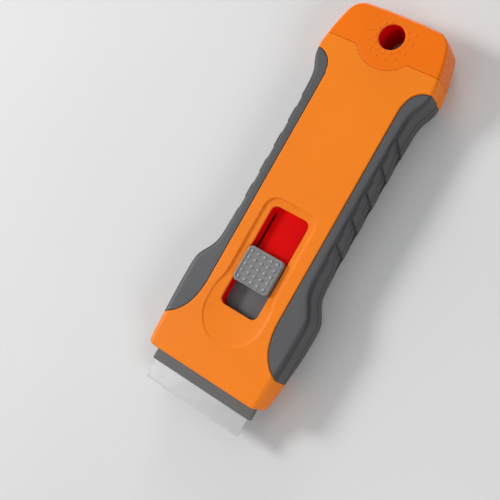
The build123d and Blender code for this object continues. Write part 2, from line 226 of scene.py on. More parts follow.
# ---- inner frame ----
FLOOR_Z = (10.4, 11.4)
FLOOR_Y = (EDGE_Y + 50.0, 6.0, 50.0)    # the wide part ends at the second, the narrow part at the third
FLOOR_HALF = (15.6, 11.2)               # half widths of the two parts
COLLAR_T = 0.8
COLLAR_BED = 0.85             # step under the front shell's lip that the collar stands in
COLLAR_PLAY = 0.02
COLLAR_GAP_HALF = 5.2         # half width of the gap in the collar's end towards the mouth
RAIL_X = (12.4, 13.8)
RAIL_Y = (-22.0, 6.0)
CHANNEL_Z = (4.9, 6.1)
STOP_GAP = 0.4                # left between the drawn-back shank and the stop
STOP_T = 1.6
BOX_HALF = (11.2, 9.85)       # spare-blade box outside and inside
BOX_Y = (5.0, 50.0)
BOX_HOLLOW_Y = (6.2, 51.0)
BOX_HOLLOW_Z = (3.2, FLOOR_Z[0])


# ---------------------------------------------------------------- fields

def both(a, b, r=0.0):
    """What is inside a and b, with the edge between them rounded by r."""
    if np.isscalar(r) and r == 0:
        return np.maximum(a, b)
    u, v = a + r, b + r
    return np.minimum(np.maximum(u, v), 0) + np.hypot(np.maximum(u, 0), np.maximum(v, 0)) - r


def either(a, b, r=0.0):
    """What is inside a or b, with a fillet of radius r in the corner between them."""
    return -both(-a, -b, r)


def less(a, b, r=0.0):
    """What is inside a and outside b."""
    return both(a, -b, r)


def slab(v, low, high):
    return np.maximum(low - v, v - high)


def plate(x, y, half, y0, y1, r):
    """Distance to a rectangle with rounded corners, centred on x = 0, in the XY plane."""
    u = np.abs(x) - half + r
    v = np.abs(y - (y0 + y1) / 2) - (y1 - y0) / 2 + r
    return np.minimum(np.maximum(u, v), 0) + np.hypot(np.maximum(u, 0), np.maximum(v, 0)) - r


def block(x, y, z, x0, x1, y0, y1, z0, z1, r=0.0):
    return both(both(slab(x, x0, x1), slab(y, y0, y1), r), slab(z, z0, z1), r)


def centred(x, y, z, half, y0, y1, z0, z1, r=0.0):
    """A block centred on x = 0."""
    return block(x, y, z, -half, half, y0, y1, z0, z1, r)


def rod(x, y, at, radius):
    return np.hypot(x - at[0], y - at[1]) - radius


def nearest(x, y, places):
    """Distance in the XY plane to the nearest of some upright axes."""
    near = None
    for at in places:
        one = rod(x, y, at, 0)
        near = one if near is None else np.minimum(near, one)
    return near


def smooth_curve(points, steps=6):
    """A Catmull-Rom curve through the points."""
    points = np.array(points, float)
    ends = np.vstack([2 * points[0] - points[1], points, 2 * points[-1] - points[-2]])
    t = np.linspace(0, 1, steps, endpoint=False)[:, None]
    rows = []
    for a, b, c, d in zip(ends, ends[1:], ends[2:], ends[3:]):
        rows.append(b + 0.5 * t * (c - a + t * (2 * a - 5 * b + 4 * c - d + t * (3 * (b - c) + d - a))))
    return np.vstack(rows + [points[-1:]])


def polygon(points, x, y):
    """Distance to a closed polygon in the XY plane."""
    x, y = np.broadcast_arrays(x, y)
    squared = np.full(x.shape, 1e9)
    inside = np.zeros(x.shape, bool)
    for (ax, ay), (bx, by) in zip(points, np.roll(points, -1, axis=0)):
        ex, ey = bx - ax, by - ay
        px, py = x - ax, y - ay
        t = np.clip((px * ex + py * ey) / (ex * ex + ey * ey), 0, 1)
        squared = np.minimum(squared, (px - t * ex) ** 2 + (py - t * ey) ** 2)
        if ey != 0:
            inside ^= ((ay > y) != (by > y)) & (px < py * ex / ey)
    return np.where(inside, -1, 1) * np.sqrt(squared)


side_curve = smooth_curve([(half, y) for y, half in SIDE])
side_slope = np.gradient(side_curve[:, 0], side_curve[:, 1])
crown_chord = SIDE[-1][1]
CROWN_R = (crown_chord ** 2 + CROWN_RISE ** 2) / (2 * CROWN_RISE)


def half_width(y):
    return np.minimum(np.interp(y, side_curve[:, 1], side_curve[:, 0]), WIDEST)


def outline(x, y):
    """Distance to the handle's outline seen from the front, without the mouth."""
    lean = np.interp(y, side_curve[:, 1], side_slope)
    side = (np.abs(x) - half_width(y)) / np.sqrt(1 + lean ** 2)
    crown = np.hypot(x, y - TOP_Y + CROWN_R) - CROWN_R + CROWN_SET_BACK
    return both(side, crown, CORNER_R)


def slope(y, z):
    """The rise of the back towards the mouth: 0 on it, above 0 under it."""
    run = SLOPE_Y - MOUTH_Y
    return (-(y - SLOPE_Y) * SLOPE_RISE - z * run) / math.hypot(run, SLOPE_RISE)


def handle(x, y, z):
    """The whole outside of the handle."""
    side = outline(x, y) + DRAFT * ((z - PARTING_Z) / PARTING_Z) ** 2
    back = both(-z, slope(y, z), SLOPE_R)
    front_r = np.interp(y, EDGE_CHANGE_Y, (GRIP_EDGE_R, CAP_EDGE_R))
    shape = np.maximum(both(side, z - THICK, front_r), both(side, back, BACK_EDGE_R))
    widening = MOUTH_FLARE * np.clip(y - MOUTH_Y - MOUTH_R, 0, MOUTH_FLARE_L)
    mouth = plate(x, y, half_width(MOUTH_Y) + widening, MOUTH_Y, BEYOND, MOUTH_R)
    return both(shape, mouth, MOUTH_EDGE_R)


def grip_zone(points, x, y):
    """Distance to the area one grip covers, either side."""
    border = smooth_curve(points)
    # its two ends run straight on out of the handle's side
    closing = [(GRIP_OUTSIDE, points[-1][1] - 0.4), (GRIP_OUTSIDE, points[0][1] - 0.6)]
    return polygon(np.vstack([border, closing]), np.abs(x), y)


def cavity(x, y, z):
    """The hollow inside of the two shells."""
    space = both(outline(x, y) + CAVITY_INSET, slab(z, BACK_WALL, FRONT_Z), CAVITY_R)
    space = both(space, slab(y, MOUTH_Y + CAVITY_START, CAP_Y + 1), EDGE_R)
    return both(space, slope(y, z) + BACK_WALL, 1.0)


def mouth_slot(x, y, z):
    return centred(x, y, z, MOUTH_SLOT_HALF, MOUTH_Y - 2, MOUTH_Y + 3, *MOUTH_SLOT_Z, EDGE_R)


def notches(x, y, z, skin):
    """Five leaning pads sunk in the side of a grip, each deeper towards its upper end."""
    half = NOTCH_LENGTH / 2
    cut = None
    for middle in NOTCH_Y:
        along = y - middle - NOTCH_LEAN * (z - NOTCH_LEAN_Z)
        depth = np.interp(along, (-half, half), NOTCH_DEPTH)
        pad = both(plate(along, z, half, *NOTCH_Z, NOTCH_R), -(skin + depth), SHARP_R)
        cut = pad if cut is None else np.minimum(cut, pad)
    return cut


def grip_skin(points, x, y, z, shape):
    """The layer under a grip's area, GRIP_DEPTH thick."""
    return both(grip_zone(points, x, y), -(shape + GRIP_DEPTH))


def tongue(x, y, extra):
    """The end cap's area seen from the front, grown by extra: past the seam, and the round tongue."""
    line = CAP_Y + GAP - extra - y
    return either(line, rod(x, y, (0, HOLE_Y), TONGUE_R + extra), TONGUE_FILLET)


def eased(v, low, high):
    """0 up to low, 1 from high, smooth between."""
    t = np.clip((v - low) / (high - low), 0, 1)
    return t * t * (3 - 2 * t)


def thumb_recess(x, y, z):
    """The shallow recess round the window, which runs into the round thumb dish below it."""
    margin = plate(x, y, WINDOW_HALF + RECESS_MARGIN, WINDOW_Y[0] + 1, WINDOW_Y[1] + RECESS_MARGIN, RECESS_R)
    dish = rod(x, y, (0, DISH_Y), DISH_R)
    area = either(margin, dish, DISH_FILLET)
    bowl = DISH_STEP + DISH_BOWL * (1 - np.clip((dish + DISH_R) / DISH_R, 0, 1) ** 2)
    depth = bowl + (RECESS_DEPTH - bowl) * eased(y, DISH_Y + DISH_BLEND[0], DISH_Y + DISH_BLEND[1])
    wall = np.interp(x, RECESS_WALL_X, RECESS_WALL)
    surface = THICK - depth * eased(-area, RECESS_START, wall)
    return z - surface


def front_shell(x, y, z):
    skin = handle(x, y, z)
    f = both(skin, PARTING_Z + PARTING_GAP - z, CRISP_R)
    f = less(f, grip_skin(FRONT_GRIP, x, y, z, skin), EDGE_R)
    f = both(f, y - CAP_Y, CRISP_R)
    f = less(f, both(tongue(x, y, GAP), FRONT_Z - 1 - z), CRISP_R)
    screws = nearest(x, y, SCREWS)
    f = less(f, both(cavity(x, y, z), FRONT_POST_R - screws), SHARP_R)
    f = less(f, mouth_slot(x, y, z), BLUNT_R)
    # at the recess's wall this field grows faster than the distance, which 0.75 evens out
    f = both(f, thumb_recess(x, y, z) * 0.75)
    window = plate(x, y, WINDOW_HALF, *WINDOW_Y, WINDOW_R)
    f = less(f, window, WINDOW_EDGE_R)
    f = less(f, both(window - COLLAR_BED, z - THICK + RECESS_DEPTH + LIP), SHARP_R)
    return less(f, both(screws - SCREW_R, slab(z, PARTING_Z - 1, 12.3)), SHARP_R)


def rear_shell(x, y, z):
    skin = handle(x, y, z)
    f = both(skin, z - PARTING_Z + PARTING_GAP, CRISP_R)
    f = less(f, grip_skin(BACK_GRIP, x, y, z, skin), EDGE_R)
    f = both(f, y - CAP_Y, CRISP_R)
    screws = nearest(x, y, SCREWS)
    f = less(f, both(cavity(x, y, z), REAR_POST_R - screws), SHARP_R)
    f = less(f, mouth_slot(x, y, z), BLUNT_R)
    f = less(f, both(screws - HEAD_BORE_R, z - SCREW_HEAD_Z[1]), 0.25)
    return less(f, screws - SHANK_BORE_R, CRISP_R)


def grip(points, x, y, z):
    """Both moulded grips of one half, without the cut at the parting line, which the callers make."""
    skin = handle(x, y, z)
    f = both(grip_zone(points, x, y) + 0.01, skin, EDGE_R)
    f = both(f, z - THICK + GRIP_SINK, 0.5)
    f = less(f, both(notches(x, y, z, skin), NOTCH_SIDE - np.abs(x)), 0.25)
    return both(f, -(skin + GRIP_DEPTH - GRIP_PLAY), SHARP_R)


def front_grip(x, y, z):
    return both(grip(FRONT_GRIP, x, y, z), PARTING_Z + 0.1 - z, 0.22)


def rear_grip(x, y, z):
    return both(grip(BACK_GRIP, x, y, z), z - PARTING_Z + 0.1, 0.22)


def end_cap(x, y, z):
    skin = handle(x, y, z)
    behind = CAP_Y + GAP - y
    f = both(skin, behind, CRISP_R)
    hollow = both(outline(x, y) + CAVITY_INSET, slab(z, BACK_WALL, FRONT_Z), 1.0)
    f = less(f, both(hollow, y - TOP_Y + CAP_WALL), BLUNT_R)
    tube = both(rod(x, y, (0, HOLE_Y), CAP_TUBE_R), both(slab(z, 1, THICK - 1), behind))
    f = either(f, tube, 0.4)
    inset = outline(x, y) + CAVITY_INSET - FLANGE_SINK
    flange = both(inset, slab(z, BACK_WALL - 0.2, FRONT_Z + 0.2))
    flange = both(flange, slab(y, CAP_Y + GAP, CAP_Y + FLANGE_L))
    plug = centred(x, y, z, PLUG_HALF[0], CAP_Y - PLUG_L, CAP_Y + FLANGE_L, *PLUG_Z, 0.4)
    inside = centred(x, y, z, PLUG_HALF[1], CAP_Y - 7, CAP_Y + 3, *PLUG_HOLLOW_Z, EDGE_R)
    f = np.minimum(f, less(np.minimum(flange, plug), inside, BLUNT_R))
    shelf = both(both(tongue(x, y, 0), slab(z, FRONT_Z - TONGUE_SINK, THICK), CRISP_R), skin)
    f = np.minimum(f, both(shelf, y - CAP_Y - TONGUE_ROOT))
    bore = both(rod(x, y, (0, HOLE_Y), LINER_BORE_R), slab(z, LINER_SEAT, THICK - LINER_SEAT))
    f = less(f, bore, HAIR_R)
    return less(f, rod(x, y, (0, HOLE_Y), HOLE_R), 0.35)


def hole_liner(x, y, z):
    ring = both(rod(x, y, (0, HOLE_Y), LINER_R), slab(z, LINER_END, THICK - LINER_END), SHARP_R)
    return less(ring, rod(x, y, (0, HOLE_Y), HOLE_R), SHARP_R)


def inner_frame(x, y, z):
    """Red floor, window collar, slide channel and spare-blade box."""
    side = np.abs(x)
    f = centred(x, y, z, FLOOR_HALF[0], *FLOOR_Y[:2], *FLOOR_Z, CRISP_R)
    f = np.minimum(f, centred(x, y, z, FLOOR_HALF[1], BOX_Y[0], FLOOR_Y[2], *FLOOR_Z, CRISP_R))
    window = plate(x, y, WINDOW_HALF, *WINDOW_Y, WINDOW_R)
    collar_top = THICK - RECESS_DEPTH - LIP - COLLAR_PLAY
    f = np.minimum(f, both(window - COLLAR_T, slab(z, FLOOR_Z[0], collar_top), CRISP_R))
    bay = np.minimum(both(window, FLOOR_Z[1] - z, BLUNT_R), both(window, y - FLOOR_Y[0], SHARP_R))
    f = less(f, bay, CRISP_R)
    passage = (WINDOW_Y[0] - 1, WINDOW_Y[0] + 0.4)
    f = less(f, centred(x, y, z, COLLAR_GAP_HALF, *passage, FLOOR_Z[0] - 0.5, THICK, SHARP_R), SHARP_R)
    f = np.minimum(f, block(side, y, z, *RAIL_X, *RAIL_Y, BACK_WALL, FLOOR_Z[1], CRISP_R))
    slot = block(side, y, z, *LEG_SLOT_X, *LEG_SLOT_Y, 8, FLOOR_Z[1] + 1, EDGE_R)
    f = less(f, slot, SHARP_R)
    f = np.minimum(f, centred(x, y, z, RAIL_X[1], *RAIL_Y, *CHANNEL_Z, CRISP_R))
    stop = SHANK_END + TRAVEL + STOP_GAP
    f = np.minimum(f, centred(x, y, z, RAIL_X[1], stop, stop + STOP_T, CHANNEL_Z[0], FLOOR_Z[0], CRISP_R))
    box = centred(x, y, z, BOX_HALF[0], *BOX_Y, BACK_WALL, FLOOR_Z[1], EDGE_R)
    box = less(box, centred(x, y, z, BOX_HALF[1], *BOX_HOLLOW_Y, *BOX_HOLLOW_Z, BLUNT_R), CRISP_R)
    return np.minimum(f, box)


def holder_outline(x, y):
    """The wide head of the blade holder, narrowing behind to its shank."""
    half, shank = HOLDER_HALF, SHANK_HALF
    y0, y1 = HOLDER_Y
    across = -30                  # the half outline is mirrored, so it is closed on the other side
    ring = [(across, y0), (half - HOLDER_CUT, y0), (half, y0 + HOLDER_CUT), (half, y1 - SHOULDER_CUT),
            (half - SHOULDER_CUT, y1), (shank, y1), (shank, SHANK_END - SHANK_CUT),
            (shank - SHANK_CUT, SHANK_END), (across, SHANK_END)]
    return polygon(np.array(ring), np.abs(x), y)


def holder_base(x, y, z):
    f = both(holder_outline(x, y), slab(z, HOLDER_Z[0], SLOT_Z[1] - 0.01), CRISP_R)
    tail = centred(x, y, z, SHANK_HALF, HOLDER_Y[1] + 0.5, SHANK_END - SHANK_CUT, SHANK_Z, 8.4, BLUNT_R)
    f = np.minimum(f, tail)
    slot = centred(x, y, z, SLOT_HALF, HOLDER_Y[0] - 1, EDGE_Y + BLADE_L + 0.1, SLOT_Z[0], SLOT_Z[1] + 1)
    f = less(f, slot, SHARP_R)
    f = less(f, centred(x, y, z, 8, BUTTON_Y - 4, BUTTON_Y + 4, 7.0, 12), CRISP_R)
    return less(f, nearest(x, y, RIVETS) - RIVET_BORE_R)


def holder_cover(x, y, z):
    f = both(holder_outline(x, y), slab(z, SLOT_Z[1] + 0.01, HOLDER_Z[1]), BLUNT_R)
    f = less(f, block(np.abs(x), y, z, *LEG_SLOT_X, BUTTON_Y - 3, BUTTON_Y + 3, 9, 11), SHARP_R)
    near = nearest(x, y, RIVETS)
    seat = both(near - RIVET_SEAT_R, HOLDER_Z[1] - SEAT_T - z)
    return less(less(f, near - RIVET_BORE_R), seat)


def holder_rivets(x, y, z):
    near = nearest(x, y, RIVETS)
    shaft = both(near - RIVET_R, slab(z, HOLDER_Z[0], HOLDER_Z[1]), SHARP_R)
    head = both(near - RIVET_HEAD_R, slab(z, HOLDER_Z[1] - RIVET_HEAD_T, HOLDER_Z[1]), 0.12)
    dimple = both(near - RIVET_DIMPLE_R, HOLDER_Z[1] - 0.12 - z)
    return less(np.minimum(shaft, head), dimple, SHARP_R)


def slide_button(x, y, z):
    """Rounded thumb button with a slightly raised rim, five rows of five bumps and two hooked legs."""
    half_w, half_l = BUTTON[0] / 2, BUTTON[1] / 2
    outer = plate(x, y, half_w, BUTTON_Y - half_l, BUTTON_Y + half_l, BUTTON_CORNER_R)
    f = both(outer, slab(z, *BUTTON_Z), BUTTON_EDGE_R)
    f = less(f, both(outer + RIM_W, BUTTON_Z[1] - RIM_STEP - z, HAIR_R), 0.08)
    for i in range(-2, 3):
        for j in range(-2, 3):
            cx, cy = i * BUMP_PITCH[0], BUTTON_Y + j * BUMP_PITCH[1]
            bump = np.sqrt((x - cx) ** 2 + (y - cy) ** 2 + (z - BUTTON_Z[1] + BUMP_SINK) ** 2) - BUMP_R
            f = either(f, bump, 0.08)
    side = np.abs(x)
    leg_x = (LEG_X - LEG_T / 2, LEG_X + LEG_T / 2)
    leg_y = (BUTTON_Y - LEG_HALF_W, BUTTON_Y + LEG_HALF_W)
    leg = block(side, y, z, *leg_x, *leg_y, *LEG_Z, 0.12)
    hook = block(side, y, z, *HOOK_X, *leg_y, *HOOK_Z, 0.12)
    return np.minimum(f, np.minimum(leg, hook))


def housing_screws(x, y, z):
    near = nearest(x, y, SCREWS)
    head = both(near - SCREW_HEAD_R, slab(z, *SCREW_HEAD_Z), 0.25)
    thread = THREAD_DEPTH * np.abs((z / THREAD_PITCH) % 1.0 - 0.5) * 2
    f = np.minimum(head, both(near - SCREW_R + thread, slab(z, 1.5, SCREW_TIP), SHARP_R))
    length, width = CROSS
    for cx, cy in SCREWS:
        u, v = np.abs(x - cx), np.abs(y - cy)
        arms = np.minimum(np.maximum(u - length, v - width), np.maximum(u - width, v - length))
        f = less(f, both(arms, z - 1.2), 0.06)
    return f


# ---------------------------------------------------------------- meshing

CELL_CORNERS = [(i, j, k) for i in (0, 1) for j in (0, 1) for k in (0, 1)]


def slope_of(field, p, reach):
    """The field and its gradient at points p, and how convex the skin is there."""
    middle = field(p[:, 0], p[:, 1], p[:, 2])
    columns, total = [], -6 * middle
    for axis in range(3):
        step = np.zeros(3)
        step[axis] = reach
        high = field(*(p + step).T)
        low = field(*(p - step).T)
        columns.append((high - low) / (2 * reach))
        total = total + high + low
    return middle, np.stack(columns, 1), total / reach ** 2


def sampled(field, low, high, step):
    """The first corner of a grid a little larger than the box, and the field's values on it."""
    axes = [np.arange(a - 1.7 * step, b + 2.7 * step, step) for a, b in zip(low, high)]
    values = field(axes[0][:, None, None], axes[1][None, :, None], axes[2][None, None, :])
    values = np.ascontiguousarray(np.broadcast_to(values, tuple(len(a) for a in axes)))
    return np.array([a[0] for a in axes]), values


def crossed_cells(inside):
    """The cells that have corners both inside and outside."""
    shape = inside.shape
    count = np.zeros(tuple(n - 1 for n in shape), np.int8)
    for i, j, k in CELL_CORNERS:
        count += inside[i:shape[0] - 1 + i, j:shape[1] - 1 + j, k:shape[2] - 1 + k]
    return np.argwhere((count > 0) & (count < len(CELL_CORNERS)))


def cell_points(values, cells):
    """A point in each cell, the middle of where its edges cross the skin. The unit is one cell."""
    at_corner = [values[cells[:, 0] + i, cells[:, 1] + j, cells[:, 2] + k] for i, j, k in CELL_CORNERS]
    place = np.zeros((len(cells), 3))
    crossings = np.zeros(len(cells))
    for a, low_corner in enumerate(CELL_CORNERS):
        for axis in range(3):
            if low_corner[axis]:
                continue
            far = list(low_corner)
            far[axis] = 1
            va, vb = at_corner[a], at_corner[CELL_CORNERS.index(tuple(far))]
            hit = (va < 0) != (vb < 0)
            t = np.where(hit, va / np.where(hit, va - vb, 1), 0)
            point = np.array(low_corner, float)[None, :].repeat(len(cells), 0)
            point[:, axis] = t
            place += point * hit[:, None]
            crossings += hit
    return cells + place / crossings[:, None]


def net_faces(inside, cells):
    """A four-sided face round each grid edge that crosses the skin, from the points of its four cells."""
    index = np.full(tuple(n - 1 for n in inside.shape), -1, np.int64)
    index[tuple(cells.T)] = np.arange(len(cells))
    quads = []
    for axis in range(3):
        u, v = (axis + 1) % 3, (axis + 2) % 3
        first = [slice(None)] * 3
        second = [slice(None)] * 3
        first[axis], second[axis] = slice(0, -1), slice(1, None)
        start, end = inside[tuple(first)], inside[tuple(second)]
        for flip, mask in ((False, start & ~end), (True, ~start & end)):
            at = np.argwhere(mask)
            ring = []
            for du, dv in ((-1, -1), (0, -1), (0, 0), (-1, 0)):
                cell = at.copy()
                cell[:, u] += du
                cell[:, v] += dv
                ring.append(index[tuple(cell.T)])
            ring = np.stack(ring, 1)
            quads.append(ring[:, ::-1] if flip else ring)
    return np.vstack(quads)


def slid_onto(field, place, step):
    """The points, moved along the field's slope onto its skin."""
    for _ in range(2):
        middle, slopes = slope_of(field, place, 0.01)[:2]
        move = slopes * (middle / np.maximum((slopes ** 2).sum(1), 0.05))[:, None]
        length = np.linalg.norm(move, axis=1, keepdims=True)
        place = place - move * np.minimum(1, 0.6 * step / np.maximum(length, 1e-9))
    return place


def add_object(name, mesh):
    """Puts a mesh in the scene as an object."""
    piece = bpy.data.objects.new(name, mesh)
    scene.collection.objects.link(piece)
    return piece


def skin_mesh(name, field, low, high, step, keep):
    """Meshes the skin of a field between two corners, in cells of step, and keeps a share of the faces."""
    origin, values = sampled(field, low, high, step)
    inside = values < 0
    cells = crossed_cells(inside)
    place = slid_onto(field, cell_points(values, cells) * step + origin, step)
    quads = net_faces(inside, cells)
    mesh = bpy.data.meshes.new(name)
    mesh.vertices.add(len(place))
    mesh.vertices.foreach_set("co", (place * MM).astype(np.float32).ravel())
    mesh.loops.add(4 * len(quads))
    mesh.loops.foreach_set("vertex_index", quads.ravel().astype(np.int32))
    mesh.polygons.add(len(quads))
    mesh.polygons.foreach_set("loop_start", np.arange(0, 4 * len(quads), 4, dtype=np.int32))
    mesh.update(calc_edges=True)
    mesh.validate()
    piece = add_object(name, mesh)
    thin = piece.modifiers.new("thin", "DECIMATE")
    thin.ratio = keep
    apply_modifiers(piece)
    shade_by_field(piece, field)
    return piece


def apply_modifiers(piece):
    """Replaces the piece's mesh by the one its modifiers give."""
    view = bpy.context.evaluated_depsgraph_get()
    made = bpy.data.meshes.new_from_object(piece.evaluated_get(view), depsgraph=view)
    piece.modifiers.clear()
    old = piece.data
    piece.data = made
    bpy.data.meshes.remove(old)
    made.name = piece.name


def shade_by_field(piece, field):
    """Gives each vertex the field's own normal, and an attribute that is high on convex edges."""
    mesh = piece.data
    place = np.zeros(3 * len(mesh.vertices), np.float32)
    mesh.vertices.foreach_get("co", place)
    place = place.reshape(-1, 3).astype(float) / MM
    _, slopes, bend = slope_of(field, place, 0.05)
    normals = slopes / np.maximum(np.linalg.norm(slopes, axis=1, keepdims=True), 1e-9)
    mesh.polygons.foreach_set("use_smooth", np.ones(len(mesh.polygons), bool))
    mesh.normals_split_custom_set_from_vertices(normals.astype(np.float32))
    # the materials paint a highlight on the convex edges this attribute marks
    layer = mesh.attributes.new("edge", "FLOAT", "POINT")
    layer.data.foreach_set("value", np.clip(bend * 0.3, 0, 1).astype(np.float32))


# ---------------------------------------------------------------- blades and bumps

# (distance from the edge, half thickness) over the ground edge and the flat of a blade
GROUND = [(0.0, 0.004), (0.28, 0.04), (1.0, BLADE_T / 2), (BLADE_L - 0.4, BLADE_T / 2)]


def blade_side():
    """(x, y) down one end of a blade, from its edge round the notch to its back."""
    half = BLADE_W / 2
    notch_y, notch_r = BLADE_NOTCH
    side = [(half, y) for y, _ in GROUND[:3]]
    for i in range(9):
        turn = math.pi * (i / 8 - 0.5)
        side.append((half - notch_r * math.cos(turn), notch_y + notch_r * math.sin(turn)))
    side.append((half, GROUND[3][0]))
    return side


def razor_blade(name, places):
    """One mesh of single-edge blades; each place is a function from blade (x, y, z) to the object's."""
    side = blade_side()
    n = len(side)
    points, faces = [], []
    for place in places:
        start = len(points)
        for sign in (1, -1):
            for px, py in side:
                height = float(np.interp(py, [y for y, _ in GROUND], [t for _, t in GROUND]))
                for flip in (1, -1):
                    points.append(tuple(c * MM for c in place(flip * px, py, sign * height)))

        def at(level, i, flip):
            """The point i of the side, on the top or underside and the right or left end."""
            return start + (0 if level == 1 else 2 * n) + 2 * i + (0 if flip == 1 else 1)

        for level in (1, -1):
            loops = [[at(level, a, 1), at(level, b, 1), at(level, b, -1), at(level, a, -1)]
                     for a, b in ((0, 1), (1, 2))]
            flat = range(2, n)
            loops.append([at(level, i, 1) for i in flat] + [at(level, i, -1) for i in reversed(flat)])
            faces += [loop if level == 1 else loop[::-1] for loop in loops]
        for flip in (1, -1):
            for i in range(n - 1):
                loop = [at(1, i, flip), at(-1, i, flip), at(-1, i + 1, flip), at(1, i + 1, flip)]
                faces.append(loop if flip == 1 else loop[::-1])
        faces.append([at(1, 0, 1), at(1, 0, -1), at(-1, 0, -1), at(-1, 0, 1)])
        faces.append([at(1, n - 1, -1), at(1, n - 1, 1), at(-1, n - 1, 1), at(-1, n - 1, -1)])
    mesh = bpy.data.meshes.new(name)
    mesh.from_pydata(points, [], faces)
    mesh.update()
    return add_object(name, mesh)


def dome(cx, cy, first):
    """Points and faces of a small closed dome on the button face; first is its first point's number."""
    rings, around = 3, 12
    points, faces = [], []
    for level in range(rings + 1):
        lift = level / (rings + 1) * math.pi / 2
        z = THICK - DOT_SINK + (DOT_HEIGHT * math.sin(lift) + DOT_SINK if level else 0)
        for k in range(around):
            a = 2 * math.pi * k / around
            reach = DOT_R * math.cos(lift)
            points.append((cx + reach * math.cos(a), cy + reach * math.sin(a), z))
    points.append((cx, cy, THICK + DOT_HEIGHT))
    for level in range(rings):
        for k in range(around):
            a, b = first + level * around + k, first + level * around + (k + 1) % around
            faces.append((a, b, b + around, a + around))
    last, tip = first + rings * around, first + (rings + 1) * around
    faces += [(last + k, last + (k + 1) % around, tip) for k in range(around)]
    faces.append(tuple(first + k for k in reversed(range(around))))
    return points, faces


def cap_dots(name):
    """Two rings of small bumps round the hanging hole, left out near the end of the cap."""
    points, faces = [], []
    for ring_r, start in DOT_RINGS:
        for i in range(DOTS_IN_RING):
            turn = math.radians(90 + (i + start) * 360 / DOTS_IN_RING)
            cx, cy = ring_r * math.cos(turn), HOLE_Y + ring_r * math.sin(turn)
            if cy > TOP_Y - 3:
                continue
            more_points, more_faces = dome(cx, cy, len(points))
            points += more_points
            faces += more_faces
    mesh = bpy.data.meshes.new(name)
    mesh.from_pydata([tuple(c * MM for c in p) for p in points], [], faces)
    mesh.polygons.foreach_set("use_smooth", np.ones(len(mesh.polygons), bool))
    # every dot is marked as a full edge, so the cap's material paints its bumps in the lighter edge colour: a
    # painted highlight
    layer = mesh.attributes.new("edge", "FLOAT", "POINT")
    layer.data.foreach_set("value", np.full(len(points), 0.8, np.float32))
    mesh.update()
    return add_object(name, mesh)


# ---------------------------------------------------------------- materials

def add_node(tree, kind, inputs=None, **settings):
    """A shader node with its inputs set or linked."""
    node = tree.nodes.new("ShaderNode" + kind)
    for key, value in settings.items():
        setattr(node, key, value)
    for key, value in (inputs or {}).items():
        if isinstance(value, bpy.types.NodeSocket):
            tree.links.new(value, node.inputs[key])
        else:
            node.inputs[key].default_value = value
    return node


def mixed(tree, share, first, second):
    """A colour between two, by share: the Mix node's sockets 0, 6, 7 and 2 are its colour ones."""
    node = add_node(tree, "Mix", data_type="RGBA")
    for socket, value in zip((node.inputs[0], node.inputs[6], node.inputs[7]), (share, first, second)):
        if isinstance(value, bpy.types.NodeSocket):
            tree.links.new(value, socket)
        elif isinstance(value, tuple):
            socket.default_value = (*value, 1)
        else:
            socket.default_value = value
    return node.outputs[2]


def ranged(tree, value, low, high, start=0.0, end=1.0):
    """value from start..end brought to low..high."""
    limits = {"Value": value, "From Min": start, "From Max": end, "To Min": low, "To Max": high}
    return add_node(tree, "MapRange", limits).outputs["Result"]


def scaled(colour, by):
    return tuple(min(1.0, c * by) for c in colour)


def new_material(name):
    """A material, its node tree, its shader and its object coordinates."""
    material = bpy.data.materials.new(name)
    material.use_nodes = True
    tree = material.node_tree
    return material, tree, tree.nodes["Principled BSDF"], add_node(tree, "TexCoord").outputs["Object"]


def noise(tree, place, scale, detail, roughness=0.5):
    inputs = {"Vector": place, "Scale": scale, "Detail": detail, "Roughness": roughness}
    return add_node(tree, "TexNoise", inputs).outputs["Fac"]


def moulded(name, colour, rough, grain, grain_mm, tone=0.06, specular=0.5, edge_highlight_colour=None, edge_highlight_share=0.5,
            rounding_shade=0.0):
    """Moulded plastic or rubber.

    tone is how much its colour varies. grain is the strength of a fine texture of grain_mm, in height and
    gloss. The edge share is how far sharp convex edges go to the lighter edge colour: a painted highlight
    along the edges. The rounding shade darkens what faces half to the side and half to the front or back,
    which is the rounding of a long edge: painted shade.
    """
    material, tree, shader, place = new_material(name)
    flow = noise(tree, place, 45, 3)
    fine = noise(tree, place, 1 / (grain_mm * MM), 3, 0.6)
    base = mixed(tree, ranged(tree, flow, 0, 1, 0.3, 0.7), scaled(colour, 1 - tone), scaled(colour, 1 + tone))
    base = mixed(tree, ranged(tree, fine, 0, tone, 0.35, 0.65), base, scaled(colour, 0.6))
    # painted shade: what faces half to the side and half to the front or back, the rounding of a long edge,
    # is painted darker, down to 0.3 of the colour
    if rounding_shade:
        normal = add_node(tree, "TexCoord").outputs["Normal"]
        facing = add_node(tree, "SeparateXYZ", {"Vector": normal}).outputs
        rounding_shade_mask = add_node(tree, "Math", {0: facing["X"], 1: facing["Z"]}, operation="MULTIPLY").outputs[0]
        rounding_shade_mask = add_node(tree, "Math", {0: rounding_shade_mask}, operation="ABSOLUTE").outputs[0]
        base = mixed(tree, ranged(tree, rounding_shade_mask, 0, rounding_shade, 0.12, 0.42), base, scaled(colour, 0.3))
    # painted highlight: convex edges, marked by the edge attribute, are painted towards the lighter edge
    # colour
    if edge_highlight_colour:
        edge = add_node(tree, "Attribute", attribute_name="edge").outputs["Fac"]
        base = mixed(tree, ranged(tree, edge, 0, edge_highlight_share, 0.7), base, edge_highlight_colour)
    tree.links.new(base, shader.inputs["Base Color"])
    gloss = ranged(tree, fine, rough - 0.05, rough + 0.05, 0.35, 0.65)
    tree.links.new(gloss, shader.inputs["Roughness"])
    height = add_node(tree, "Bump", {"Height": fine, "Strength": grain, "Distance": 0.06 * MM})
    tree.links.new(height.outputs["Normal"], shader.inputs["Normal"])
    shader.inputs["Specular IOR Level"].default_value = specular
    return material


